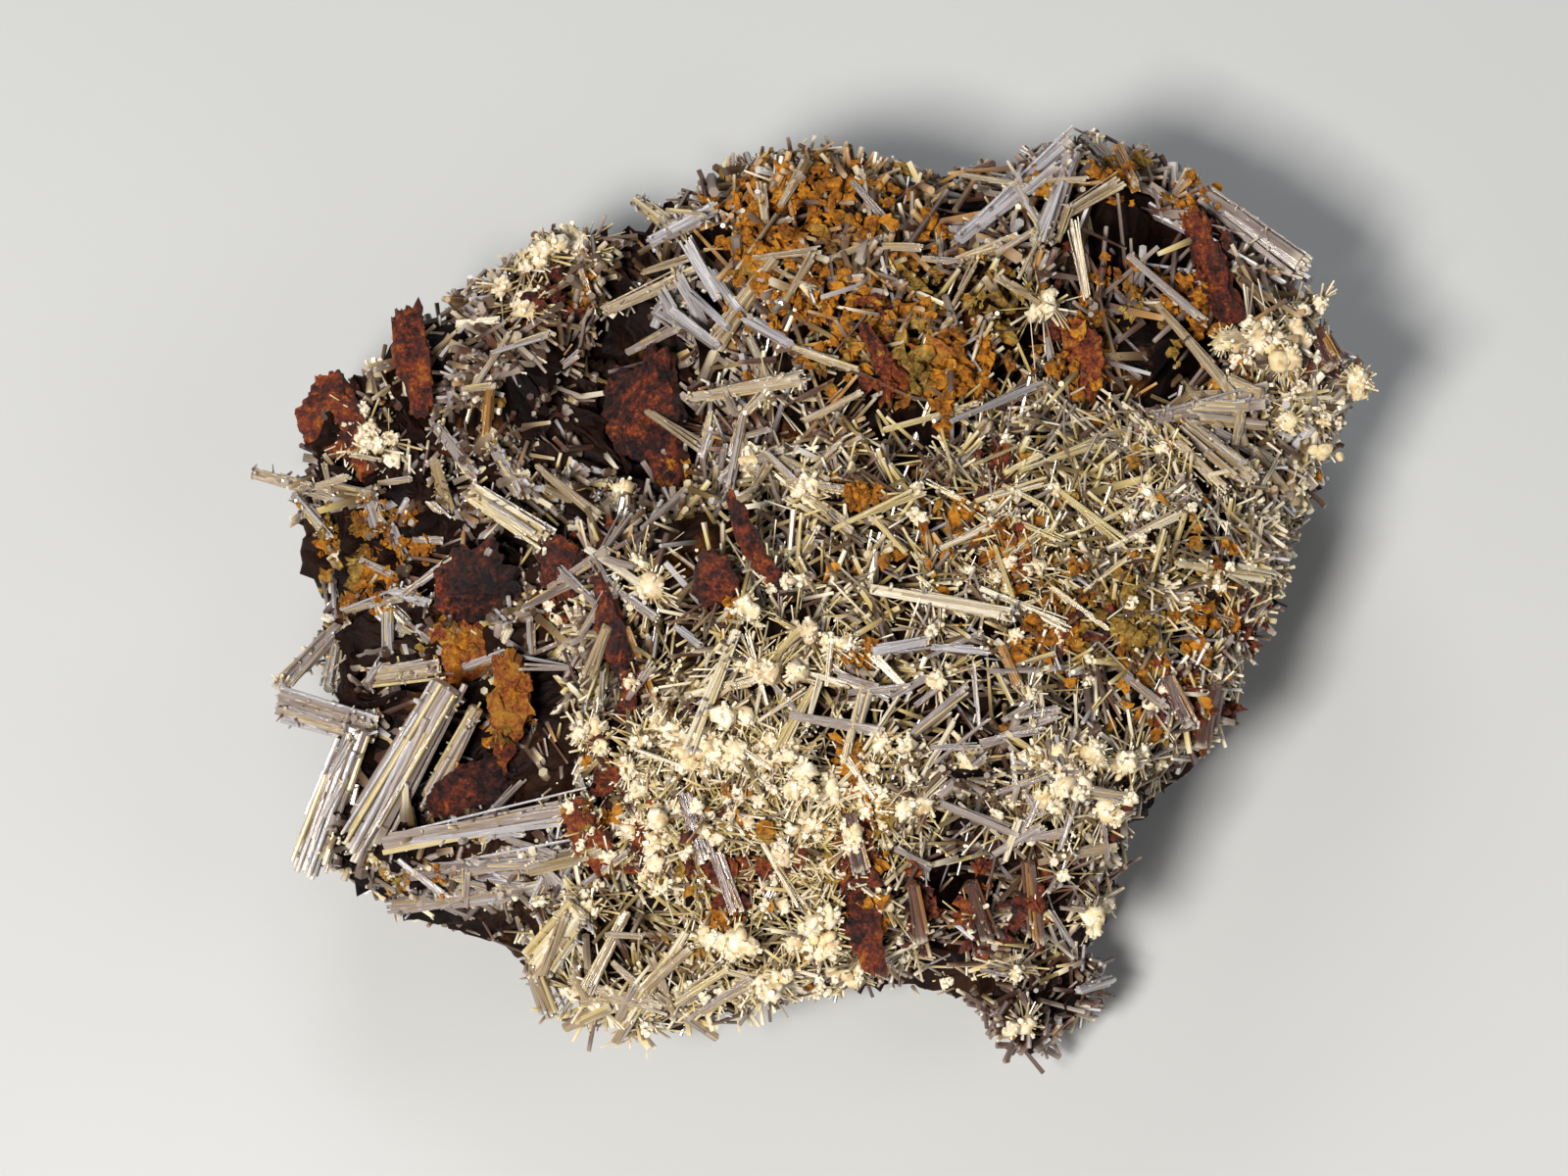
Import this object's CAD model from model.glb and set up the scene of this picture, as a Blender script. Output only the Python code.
import math

import bmesh
import bpy
import numpy as np
from mathutils import Matrix, Vector, noise
from mathutils.bvhtree import BVHTree


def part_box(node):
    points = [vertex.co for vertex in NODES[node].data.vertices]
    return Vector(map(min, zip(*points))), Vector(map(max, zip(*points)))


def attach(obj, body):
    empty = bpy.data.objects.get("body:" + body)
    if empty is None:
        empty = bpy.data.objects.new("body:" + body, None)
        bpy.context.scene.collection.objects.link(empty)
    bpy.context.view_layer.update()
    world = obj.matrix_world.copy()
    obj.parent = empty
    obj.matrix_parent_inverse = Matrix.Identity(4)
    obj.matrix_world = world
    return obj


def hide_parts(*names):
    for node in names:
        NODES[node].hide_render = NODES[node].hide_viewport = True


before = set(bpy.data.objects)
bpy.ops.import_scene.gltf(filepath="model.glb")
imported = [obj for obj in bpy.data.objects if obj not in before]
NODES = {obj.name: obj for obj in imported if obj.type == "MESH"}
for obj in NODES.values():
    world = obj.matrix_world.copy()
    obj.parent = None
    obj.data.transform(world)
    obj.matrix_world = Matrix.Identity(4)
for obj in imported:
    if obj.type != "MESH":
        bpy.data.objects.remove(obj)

# Vector noise takes its offsets from the clock unless it has a seed.
NOISE_SEED = 7
noise.seed_set(NOISE_SEED)

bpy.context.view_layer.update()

MM = 0.001
TINY = 1e-12
SAME_PLACE = 0.001 * MM
# A direction that no axis of the specimen lines up with, for putting corners and axes in order
UNEVEN = np.array((1.0, 3.1, 7.7))

# The camera looks down at the specimen as the photograph does. One step is one pixel of a frame of
# 1600 by 1200, in the plane of the target. Places below are pixels of that frame.
VIEW_ELEVATION = math.radians(65)
VIEW_DISTANCE = 420 * MM
VIEW_MIDDLE = (800, 600)
VIEW_TARGET = Vector((-2.1, -1.3, 14.0)) * MM
STEP = 80 * MM / 1145
FRAME_WIDTH = 1600
SENSOR = 36

FORWARD = Vector((0, math.cos(VIEW_ELEVATION), -math.sin(VIEW_ELEVATION)))
RIGHT = Vector((1, 0, 0))
UP = Vector((0, math.sin(VIEW_ELEVATION), math.cos(VIEW_ELEVATION)))
EYE = VIEW_TARGET - FORWARD * VIEW_DISTANCE

# Tone bands of the crystals: a crystal's tone picks its colour.
CREAM, YELLOW, TAN, GREY, SILVER, BROWN, OCHRE = 0.06, 0.20, 0.34, 0.49, 0.64, 0.79, 0.93
BANDS = (CREAM, YELLOW, TAN, GREY, SILVER, BROWN, OCHRE)
TONE_SPREAD = 0.05
# Sides of a crystal, and the most crystals in one piece.
SIDES = 6
MOST_CRYSTALS = 9000
# Points a golden angle apart, in radians, fill a disc evenly.
GOLDEN_TURN = 2.4

# Growth of the fine crystals by region: middle and reach in pixels, how dense, length and width in mm,
# lean from upright in degrees, and the share of each tone band.
REGIONS = {
    "yellow field": ((1090, 530), (230, 115), 1.6, 5.2, 0.19, 66, (7, 12, 3, 1, 1, 1, 1)),
    "field edge": ((1260, 570), (80, 80), 1.4, 3.2, 0.26, 60, (7, 3, 3, 5, 2, 1, 0)),
    "cream tufts": ((760, 850), (200, 150), 1.3, 3.2, 0.20, 50, (5, 12, 3, 1, 0, 4, 0)),
    "tuft fringe": ((640, 880), (90, 120), 1.3, 3.0, 0.28, 54, (6, 6, 4, 2, 0, 2, 0)),
    "grey lattice": ((1050, 850), (120, 160), 1.1, 3.2, 0.32, 60, (3, 1, 4, 7, 2, 6, 0)),
    "ochre crown": ((850, 250), (160, 120), 0.85, 4.0, 0.36, 62, (1, 2, 5, 4, 1, 4, 10)),
    "ochre slope": ((960, 370), (70, 50), 0.9, 2.6, 0.30, 62, (2, 3, 4, 2, 0, 4, 8)),
    "silver corner": ((1130, 250), (150, 130), 0.55, 4.6, 0.46, 64, (1, 1, 5, 7, 4, 5, 2)),
    "right rim": ((1340, 400), (70, 150), 1.1, 2.6, 0.55, 56, (6, 1, 4, 6, 2, 2, 0)),
    "upper left": ((600, 300), (150, 100), 0.28, 4.2, 0.44, 66, (2, 1, 5, 5, 1, 10, 1)),
    "left": ((400, 450), (140, 120), 0.30, 3.2, 0.44, 64, (3, 1, 5, 5, 2, 6, 1)),
    "left sprays": ((440, 380), (50, 50), 0.8, 2.6, 0.34, 60, (4, 1, 6, 4, 2, 2, 0)),
    "lower left": ((420, 780), (150, 150), 0.3, 4.0, 0.50, 64, (1, 2, 4, 7, 2, 5, 1)),
    "ledge": ((490, 890), (120, 32), 2.0, 4.6, 0.48, 72, (2, 3, 4, 9, 4, 1, 0)),
    "left foot": ((320, 860), (40, 60), 1.2, 2.6, 0.50, 60, (1, 1, 3, 9, 3, 2, 0)),
    "inner left": ((550, 590), (75, 120), 1.3, 3.6, 0.40, 60, (4, 4, 4, 7, 3, 3, 1)),
    "left net": ((420, 500), (110, 45), 0.6, 3.4, 0.44, 62, (2, 2, 4, 7, 3, 7, 1)),
    "pit fringe": ((700, 450), (70, 90), 0.55, 3.0, 0.44, 56, (1, 2, 3, 9, 3, 7, 0)),
    "middle": ((860, 560), (110, 90), 1.3, 3.6, 0.28, 62, (5, 8, 5, 3, 1, 3, 0)),
    "foot": ((640, 1010), (110, 60), 1.1, 4.2, 0.34, 60, (4, 8, 7, 2, 0, 2, 0)),
    "front edge": ((900, 980), (160, 50), 1.3, 2.8, 0.28, 54, (7, 4, 4, 2, 0, 3, 0)),
    "knob": ((1060, 1040), (120, 90), 0.55, 2.2, 0.40, 58, (0, 0, 2, 2, 1, 16, 0)),
}
# The same away from the regions, after how much it weighs beside them.
ELSEWHERE = (0.05, 0.25, 2.6, 0.36, 60, (1, 2, 5, 6, 1, 7, 1))

DENSEST = 1.6
# Crystals grow in clumps about this wide, and none lower than this.
CLUMP = 2.4 * MM
LOWEST_ROOT = 1.0 * MM
# Within a spray, how leans vary in degrees and between what, and how ways and roots are spread.
LEAN_SPREAD = 18
LEAN_LIMITS = (5, 88)
WAY_SPREAD = 0.24
ROOT_SPREAD = 0.25 * MM
# How lengths and widths vary, as shares.
LENGTH_SPREAD = 0.40
WIDTH_SPREAD = 0.33
# Straws lie no deeper than this under a crust's surface. Each half is a share of a crystal's length.
DEEPEST_STRAW = 5 * MM
STRAW_RISE = 17
STRAW_HALF = 0.6

# Places kept bare of fine crystals: middle and reach in pixels, and how deep the ground sinks in mm.
HOLLOWS = (
    ((640, 405), (48, 74), 0.0), ((490, 800), (66, 36), 0.0), ((640, 330), (30, 20), 0.5),
    ((1045, 350), (36, 26), 2.5), ((1195, 250), (26, 50), 2.8), ((1105, 300), (34, 32), 2.5),
    ((1235, 350), (32, 38), 2.5), ((950, 300), (22, 22), 2.0), ((1140, 215), (20, 20), 2.0),
    ((900, 440), (34, 14), 1.6), ((1000, 480), (16, 20), 1.6), ((830, 420), (20, 14), 1.5),
    ((845, 640), (24, 12), 1.5), ((920, 720), (24, 18), 1.8), ((1010, 740), (20, 20), 2.0),
    ((890, 900), (20, 50), 1.8), ((1000, 900), (24, 40), 2.2), ((1030, 830), (20, 20), 1.8),
    ((960, 970), (24, 12), 1.6), ((740, 880), (14, 30), 1.4), ((1080, 690), (30, 12), 1.5),
    ((1200, 640), (20, 30), 1.6), ((1160, 560), (18, 18), 1.4), ((700, 560), (24, 22), 1.6),
    ((440, 450), (26, 16), 1.2), ((520, 420), (20, 20), 1.2), ((460, 360), (14, 20), 1.2),
    ((560, 350), (24, 12), 1.2), ((640, 480), (20, 16), 1.0), ((410, 620), (24, 30), 0.0),
    ((1080, 1020), (30, 14), 1.2), ((620, 980), (16, 12), 1.2), ((930, 180), (16, 14), 1.0),
)

# Coarse crystals by name: both ends in pixels, width in mm and tone. Each stands for the node of its
# name, apart from four that share a neighbour's node.
COARSE = {
    "elbow_prism": ((345, 640), (285, 702), 1.3, GREY),
    "fist_prism": ((282, 718), (380, 746), 2.5, GREY),
    "left_upright": ((364, 742), (310, 886), 2.7, GREY),
    "left_diagonal": ((454, 700), (360, 872), 2.9, GREY),
    "diagonal_side": ((486, 722), (430, 828), 1.2, TAN),
    "short_stub": ((346, 655), (337, 704), 1.4, GREY),
    "cross_bar": ((374, 692), (450, 680), 1.6, TAN),
    "left_brace": ((380, 612), (438, 668), 1.8, GREY),
    "ledge_upper": ((392, 862), (606, 822), 1.6, GREY),
    "ledge_middle": ((414, 893), (604, 872), 1.6, GREY),
    "ledge_lower": ((400, 926), (562, 903), 1.7, GREY),
    "far_left_bar": ((256, 482), (353, 508), 1.1, TAN),
    "far_left_foot": ((300, 505), (336, 546), 1.0, GREY),
    "left_leg": ((374, 498), (395, 566), 1.1, GREY),
    "bright_leg": ((398, 536), (414, 574), 0.9, SILVER),
    "left_slant": ((444, 434), (482, 482), 0.9, GREY),
    "left_post": ((442, 470), (458, 524), 1.0, TAN),
    "pit_edge_post": ((503, 455), (532, 504), 1.1, GREY),
    "cream_bundle": ((478, 500), (558, 552), 2.0, YELLOW),
    "bright_lath": ((397, 601), (438, 617), 0.9, SILVER),
    "upper_crossing": ((616, 318), (712, 275), 0.9, TAN),
    "bright_upper": ((662, 247), (730, 213), 1.1, SILVER),
    "edge_stub": ((648, 203), (694, 238), 1.2, TAN),
    "cave_bundle": ((670, 312), (728, 346), 1.6, SILVER),
    "cave_arm": ((792, 262), (728, 352), 1.2, TAN),
    "pit_bar": ((700, 407), (822, 384), 0.9, TAN),
    "crown_main": ((978, 244), (1096, 143), 1.3, SILVER),
    "crown_upright": ((1097, 155), (1062, 250), 1.4, GREY),
    "crown_block": ((1104, 138), (1136, 170), 1.4, GREY),
    "edge_beam": ((1230, 200), (1330, 274), 1.9, GREY),
    "hollow_bar": ((1180, 427), (1294, 404), 1.3, GREY),
    "hollow_fan": ((1212, 434), (1278, 488), 1.8, TAN),
    "foot_slab": ((592, 930), (546, 986), 2.5, CREAM),
    "foot_post": ((540, 978), (562, 1036), 1.3, TAN),
    "centre_white": ((752, 643), (703, 766), 0.8, CREAM),
    "centre_long": ((887, 600), (1036, 627), 1.0, CREAM),
}
COARSE_NODES = [name for name in COARSE if name in NODES]

# Plates of iron oxide: how far each has rusted, from maroon at 0 to ochre at 1, and how deep it is
# crumpled, in mm.
PLATES = {
    "strip_plate": (0.56, 0.35), "left_plate": (0.48, 0.40), "pit_plate": (0.24, 0.25),
    "maroon_dome": (0.14, 0.40), "rust_dome": (0.40, 0.40), "ochre_tongue": (0.86, 0.75),
    "ochre_flap": (0.90, 0.75), "maroon_floor": (0.20, 0.45), "dark_spine": (0.22, 0.40),
    "spear_plate": (0.34, 0.40), "dark_knob": (0.30, 0.40), "rust_flake": (0.66, 0.50),
    "front_plate": (0.50, 0.40), "thin_plate": (0.58, 0.40), "red_plate": (0.62, 0.35),
    "ridge_plate": (0.50, 0.40), "ochre_slope": (0.90, 0.60),
}

# Crusts: how finely their ground is divided, how deep it lies in mm, and how many crystals to try.
CRUSTS = {"needle_crust": (6, 2.3, 9000), "left_crust": (5, 1.8, 1500), "front_knob": (4, 1.2, 300)}

# How high the plates that bulge rise, in mm.
DOMES = {"maroon_dome": 1.1, "rust_dome": 0.9, "dark_knob": 0.9, "maroon_floor": 0.5}
# The size of the lumps and of the boxwork that break up a solid's surface, in mm.
LUMPS = (2.2, 0.8)
BOXWORK = 4.5
# How often the outline of a plate goes in and out, and how deep, as a share of its reach.
RAGGED = ((3.0, 0.18), (8.0, 0.13), (19.0, 0.06))

# The tones that streak a coarse crystal of each tone.
STREAKS = {
    CREAM: (CREAM, CREAM, YELLOW, TAN), YELLOW: (YELLOW, YELLOW, CREAM, TAN, GREY),
    TAN: (TAN, TAN, TAN, GREY, YELLOW),
    GREY: (GREY, GREY, GREY, GREY, GREY, SILVER, SILVER, TAN, YELLOW),
    SILVER: (SILVER, SILVER, SILVER, GREY), BROWN: (BROWN, BROWN, BROWN, OCHRE),
    OCHRE: (OCHRE, OCHRE, BROWN),
}

# Slimmer loose crystals that lie on the rest: both ends in pixels, width in mm, tone.
LOOSE = (
    ((298, 693), (400, 750), 0.42, SILVER), ((265, 510), (290, 495), 0.6, TAN),
    ((440, 430), (480, 480), 0.5, GREY), ((548, 475), (612, 530), 0.56, TAN),
    ((590, 475), (620, 485), 0.6, SILVER), ((575, 650), (605, 740), 0.7, GREY),
    ((620, 640), (600, 690), 0.84, TAN), ((690, 640), (715, 660), 0.6, SILVER),
    ((805, 730), (900, 745), 0.84, GREY), ((890, 665), (950, 655), 0.95, SILVER),
    ((950, 660), (1010, 665), 0.56, SILVER), ((465, 330), (510, 325), 0.6, CREAM),
    ((560, 300), (640, 247), 0.4, TAN), ((635, 285), (660, 300), 0.6, SILVER),
    ((765, 345), (790, 400), 0.8, TAN), ((1015, 260), (1145, 185), 0.7, TAN),
    ((870, 185), (912, 235), 0.6, GREY), ((970, 430), (1065, 393), 0.5, SILVER),
    ((1155, 845), (1178, 810), 0.8, SILVER), ((495, 855), (535, 848), 0.7, SILVER),
    ((540, 890), (610, 870), 0.8, TAN), ((610, 860), (560, 905), 0.7, TAN),
    ((560, 770), (575, 840), 0.6, SILVER), ((470, 860), (530, 800), 0.7, GREY),
    ((1000, 230), (1080, 170), 0.8, SILVER), ((1035, 190), (1075, 250), 0.7, GREY),
    ((1180, 310), (1260, 400), 0.6, TAN), ((1150, 260), (1230, 330), 0.6, GREY),
    ((1200, 450), (1250, 500), 0.7, TAN), ((1240, 440), (1300, 470), 0.7, GREY),
    ((720, 330), (690, 280), 0.8, SILVER), ((640, 360), (700, 330), 0.7, GREY),
    ((500, 360), (560, 340), 0.5, GREY), ((540, 400), (590, 360), 0.6, GREY),
    ((480, 400), (520, 340), 0.5, TAN), ((730, 440), (790, 470), 0.8, GREY),
    ((760, 420), (745, 500), 0.7, GREY), ((820, 430), (880, 400), 0.6, TAN),
    ((900, 440), (1000, 410), 0.5, YELLOW), ((850, 540), (940, 500), 0.5, YELLOW),
    ((1040, 480), (1130, 450), 0.5, YELLOW), ((1130, 560), (1210, 520), 0.5, CREAM),
    ((1200, 575), (1300, 590), 0.6, CREAM), ((1080, 500), (1150, 560), 0.5, YELLOW),
    ((960, 560), (1040, 520), 0.5, CREAM), ((1000, 600), (1090, 640), 0.5, CREAM),
    ((760, 700), (820, 640), 0.5, YELLOW), ((700, 710), (780, 690), 0.6, CREAM),
    ((830, 700), (790, 770), 0.5, YELLOW), ((640, 930), (600, 1010), 0.8, TAN),
    ((700, 950), (640, 1040), 0.7, CREAM), ((580, 1000), (680, 1030), 0.7, TAN),
    ((740, 990), (820, 1010), 0.6, CREAM), ((1000, 760), (1080, 730), 0.6, GREY),
    ((960, 820), (1040, 850), 0.6, GREY), ((1060, 880), (1140, 860), 0.6, TAN),
    ((1090, 930), (1140, 950), 0.6, GREY), ((880, 700), (860, 780), 0.5, CREAM),
    ((930, 750), (990, 700), 0.6, GREY), ((1100, 1010), (1135, 1000), 0.7, SILVER),
    ((660, 420), (720, 460), 0.6, TAN), ((600, 560), (660, 600), 0.7, CREAM),
    ((560, 600), (620, 560), 0.6, TAN), ((655, 540), (700, 500), 0.6, GREY),
    ((500, 560), (470, 620), 0.6, GREY), ((330, 600), (360, 640), 0.6, GREY),
    ((520, 640), (500, 680), 0.8, CREAM), ((640, 180), (600, 240), 0.6, GREY),
    ((612, 772), (650, 835), 0.6, BROWN), ((650, 835), (690, 900), 0.6, BROWN),
    ((700, 810), (722, 880), 1.5, BROWN), ((730, 870), (752, 930), 1.2, BROWN),
    ((866, 830), (880, 890), 1.3, BROWN), ((1050, 880), (1060, 960), 1.1, BROWN),
    ((1242, 700), (1230, 760), 1.4, BROWN), ((1190, 690), (1215, 740), 1.3, BROWN),
    ((990, 900), (1010, 960), 1.0, BROWN), ((930, 900), (940, 960), 1.0, BROWN),
    ((1022, 660), (1040, 700), 0.8, OCHRE), ((640, 640), (670, 720), 0.5, OCHRE),
    ((1345, 340), (1362, 375), 1.6, BROWN), ((690, 480), (690, 505), 1.3, OCHRE),
    ((500, 395), (496, 445), 0.9, OCHRE), ((592, 275), (606, 320), 0.8, OCHRE),
    ((1140, 150), (1160, 190), 1.0, OCHRE), ((1210, 160), (1230, 200), 1.0, OCHRE),
)

# More of them by field: middle and reach in pixels, how many, length in pixels, width in mm, tone,
# heading in degrees from rightwards and how much it varies.
LOOSE_FIELDS = (
    ((490, 888), (120, 30), 34, 56, 0.50, GREY, 12, 46),
    ((330, 830), (30, 80), 9, 44, 0.55, GREY, 70, 40),
    ((560, 330), (120, 60), 12, 50, 0.50, TAN, 30, 60),
    ((725, 450), (50, 90), 14, 38, 0.65, GREY, 60, 50),
    ((700, 330), (60, 50), 9, 54, 0.80, SILVER, 150, 40),
    ((1100, 240), (130, 90), 16, 64, 0.50, TAN, 40, 50),
    ((1240, 400), (70, 80), 15, 62, 0.80, TAN, 150, 35),
    ((600, 620), (60, 110), 16, 52, 0.60, GREY, 60, 60),
    ((640, 1000), (100, 50), 15, 60, 0.70, TAN, 45, 50),
    ((1050, 830), (90, 140), 24, 56, 0.50, GREY, 60, 60),
    ((850, 250), (130, 90), 16, 54, 0.50, TAN, 50, 60),
    ((800, 450), (90, 60), 13, 56, 0.60, TAN, 20, 50),
    ((440, 480), (110, 50), 9, 46, 0.50, TAN, 120, 60),
    ((1080, 540), (210, 100), 22, 60, 0.36, YELLOW, 30, 60),
    ((800, 760), (180, 120), 20, 60, 0.36, CREAM, 50, 60),
    ((960, 700), (140, 60), 14, 58, 0.50, GREY, 20, 50),
    ((1290, 540), (40, 100), 10, 46, 0.45, CREAM, 10, 40),
    ((420, 640), (80, 50), 9, 50, 0.65, GREY, 30, 60),
)
LONGEST_LOOSE = 12 * MM
# Farther than this from rock, crust and coarse crystals, a thing would float.
FARTHEST_FROM_SKIN = 3.0 * MM
# Most things strewn over a field fall within this share of its reach.
STREWN = 0.6

# Rounded cream heads, in pixels.
HEADS = (
    (610, 755), (590, 745), (640, 785), (650, 800), (660, 745), (690, 740), (640, 850), (655, 860),
    (665, 890), (680, 900), (700, 770), (720, 765), (735, 770), (760, 770), (775, 680), (790, 690),
    (810, 680), (820, 650), (860, 665), (845, 660), (780, 760), (800, 770), (820, 810), (860, 855),
    (850, 800), (885, 830), (880, 800), (830, 840), (845, 930), (840, 960), (800, 1000), (815, 970),
    (870, 1000), (760, 960), (745, 960), (735, 830), (730, 850), (705, 850), (960, 690), (905, 760),
    (1000, 685), (900, 830), (1060, 770), (1085, 780), (1110, 770), (1125, 780), (1150, 780),
    (1090, 800), (1105, 795), (1070, 810), (1275, 290), (1283, 345), (1300, 350), (1250, 350),
    (1305, 365), (1340, 265), (1325, 340), (1392, 370), (1385, 400), (540, 275), (510, 290),
    (1046, 1040), (757, 740), (733, 828), (1252, 708), (1140, 832), (1115, 940), (660, 604), (652, 572),
    (812, 590), (758, 616), (1016, 442), (1072, 315), (985, 790), (902, 930), (564, 618), (632, 504),
    (1183, 713), (380, 432), (396, 460), (368, 446), (384, 446),
    (530, 300), (520, 265), (555, 255), (590, 240), (375, 440), (388, 450), (820, 500), (760, 480),
)
# Smooth round ones, in pixels.
ROUND_HEADS = (
    (1275, 290), (1283, 345), (1300, 350), (1250, 350), (1305, 368), (1340, 265),
    (1325, 340), (1392, 372), (1385, 402), (1316, 430), (1350, 460), (1080, 770), (1110, 768),
    (1136, 780), (840, 960), (802, 998), (870, 1002), (748, 955), (718, 950),
)
# Lumps in a head, at least and below, and their size in mm.
BIG_HEAD = ((2, 5), (0.55, 1.05))
SMALL_HEAD = ((1, 3), (0.30, 0.66))
# Small heads: middle and reach in pixels, how many.
HEAD_FIELDS = (
    ((760, 850), (170, 110), 70), ((1330, 400), (60, 120), 26), ((1080, 560), (200, 110), 36),
    ((660, 1020), (90, 40), 14), ((1100, 800), (90, 110), 26), ((900, 990), (120, 25), 14),
)

# Powdery ochre: middle and reach in pixels, and how much of it.
OCHRE_FIELDS = (
    ((800, 290), (60, 50), 34), ((790, 190), (60, 30), 16), ((870, 200), (50, 50), 20),
    ((930, 290), (45, 70), 20), ((970, 370), (50, 40), 26), ((870, 330), (50, 50), 12),
    ((1110, 380), (40, 40), 12), ((1140, 320), (40, 50), 10), ((880, 505), (14, 10), 7),
    ((980, 520), (18, 10), 8), ((1090, 640), (40, 26), 18), ((1160, 640), (20, 40), 16),
    ((1030, 550), (20, 50), 9), ((360, 580), (36, 46), 52), ((425, 545), (14, 20), 14),
    ((415, 897), (46, 14), 22), ((600, 840), (24, 24), 8), ((735, 600), (16, 14), 6),
    ((690, 480), (10, 20), 6), ((890, 860), (20, 60), 8), ((870, 780), (16, 30), 6),
    ((500, 420), (10, 20), 6), ((600, 300), (10, 14), 6), ((1200, 700), (60, 60), 8),
    ((1230, 400), (60, 60), 9), ((890, 665), (16, 10), 6), ((740, 950), (14, 24), 6),
    ((1205, 330), (26, 60), 14), ((1150, 170), (25, 25), 8), ((1228, 190), (25, 25), 8),
    ((1060, 175), (24, 16), 6), ((1020, 300), (30, 30), 8), ((760, 240), (20, 40), 10),
    ((470, 665), (28, 34), 12), ((515, 735), (18, 44), 12), ((370, 540), (44, 20), 26),
    ((1090, 560), (200, 90), 26), ((1240, 620), (40, 60), 8), ((760, 860), (150, 100), 16),
)
# A thin dusting of ochre grains over the whole specimen, in the same way.
EVERYWHERE = ((800, 600), (2000, 2000), 40)
# Rust-brown crusts between the crystals, in the same way.
RUST_FIELDS = (
    ((712, 870), (18, 36), 10), ((742, 905), (16, 30), 10), ((880, 880), (16, 60), 18),
    ((655, 840), (12, 40), 8), ((1056, 920), (20, 40), 12), ((1240, 740), (20, 30), 9),
    ((1200, 700), (30, 30), 8), ((1100, 650), (30, 14), 6), ((620, 790), (10, 30), 6),
    ((1350, 360), (16, 20), 8), ((640, 680), (10, 40), 8), ((560, 620), (14, 30), 5),
    ((1000, 930), (20, 40), 8), ((940, 930), (12, 40), 8), ((800, 880), (10, 30), 5),
    ((1140, 830), (16, 30), 6), ((1100, 320), (20, 50), 8), ((1230, 260), (16, 60), 10),
    ((1020, 480), (14, 30), 7), ((1040, 560), (12, 40), 8), ((1280, 650), (16, 40), 8),
    ((900, 340), (12, 50), 7), ((560, 300), (30, 20), 7), ((600, 560), (20, 40), 7),
)


class Flow:
    """A shader socket in a sum: + - * / add the Math nodes that work it out."""

    def __init__(self, tree, socket):
        self.tree = tree
        self.socket = socket

    def maths(self, operation, first, second):
        made = make_node(self.tree, "ShaderNodeMath", {"operation": operation}, {})
        for socket, value in zip(made.inputs, (first, second)):
            feed(self.tree, socket, value)
        return Flow(self.tree, made.outputs[0])

    def between(self, low, high):
        """0 below low, 1 above high, and a smooth rise from one to the other."""
        made = make_node(
            self.tree, "ShaderNodeMapRange", {"interpolation_type": "SMOOTHSTEP"},
            {"Value": self, "From Min": low, "From Max": high},
        )
        return Flow(self.tree, made.outputs["Result"])


for sign, sum_of in (("add", "ADD"), ("sub", "SUBTRACT"), ("mul", "MULTIPLY"), ("truediv", "DIVIDE")):
    setattr(Flow, f"__{sign}__", lambda self, other, kind=sum_of: self.maths(kind, self, other))
    setattr(Flow, f"__r{sign}__", lambda self, other, kind=sum_of: self.maths(kind, other, self))


def feed(tree, socket, value):
    """Links a socket to a flow, or sets it to a plain value."""
    if isinstance(value, Flow):
        tree.links.new(value.socket, socket)
    else:
        socket.default_value = value


def make_node(tree, kind, settings, values):
    made = tree.nodes.new(kind)
    for name, value in settings.items():
        if name == "stops":
            set_stops(made.color_ramp, value)
        else:
            setattr(made, name, value)
    for name, value in values.items():
        feed(tree, made.inputs[name], value)
    return made


def set_stops(ramp, stops):
    while len(ramp.elements) < len(stops):
        ramp.elements.new(0.5)
    for element, (position, colour) in zip(ramp.elements, stops):
        element.position = position
        element.color = (*colour, 1)


# A Mix node has sockets for each kind of value. These are the ones it uses for colours.
COLOUR_MIX_INPUTS = (0, 6, 7)
COLOUR_MIX_OUTPUT = 2


class Finish:
    """A material under construction, with the nodes that most finishes here need."""

    def __init__(self, name, **constants):
        self.material = bpy.data.materials.new(name)
        self.material.use_nodes = True
        self.tree = self.material.node_tree
        self.shader = self.tree.nodes["Principled BSDF"]
        for socket, value in constants.items():
            self.shader.inputs[socket.replace("_", " ")].default_value = value

    def node(self, kind, settings=None, **values):
        named = {name.replace("_", " "): value for name, value in values.items()}
        return make_node(self.tree, kind, settings or {}, named)

    def flow(self, node, output):
        return Flow(self.tree, node.outputs[output])

    def place(self):
        return self.flow(self.node("ShaderNodeTexCoord"), "Object")

    def drawn_out(self, where, share):
        """Places on a map, squeezed along its length so that a grain on them runs lengthwise."""
        made = self.node("ShaderNodeMapping", Vector=where, Scale=(1.0, share, 1.0))
        return self.flow(made, "Vector")

    def grain(self, where, scale, detail=4.0, roughness=0.6, distortion=0.0):
        made = self.node(
            "ShaderNodeTexNoise", Vector=where, Scale=scale, Detail=detail, Roughness=roughness,
            Distortion=distortion,
        )
        return self.flow(made, "Fac")

    def measure(self, name):
        return self.flow(self.node("ShaderNodeAttribute", {"attribute_name": name}), "Fac")

    def ramp(self, value, stops):
        return self.flow(self.node("ShaderNodeValToRGB", {"stops": stops}, Fac=value), "Color")

    def blend(self, share, first, second):
        """The first colour turning to the second as share goes to 1."""
        made = make_node(self.tree, "ShaderNodeMix", {"data_type": "RGBA"}, {})
        for number, value in zip(COLOUR_MIX_INPUTS, (share, first, second)):
            plain = isinstance(value, (Flow, float))
            feed(self.tree, made.inputs[number], value if plain else (*value, 1))
        return Flow(self.tree, made.outputs[COLOUR_MIX_OUTPUT])

    def relief(self, height, distance, strength=1.0):
        made = self.node("ShaderNodeBump", Height=height, Distance=distance, Strength=strength)
        self.put("Normal", self.flow(made, "Normal"))

    def put(self, socket, value):
        feed(self.tree, self.shader.inputs[socket], value)


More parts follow.
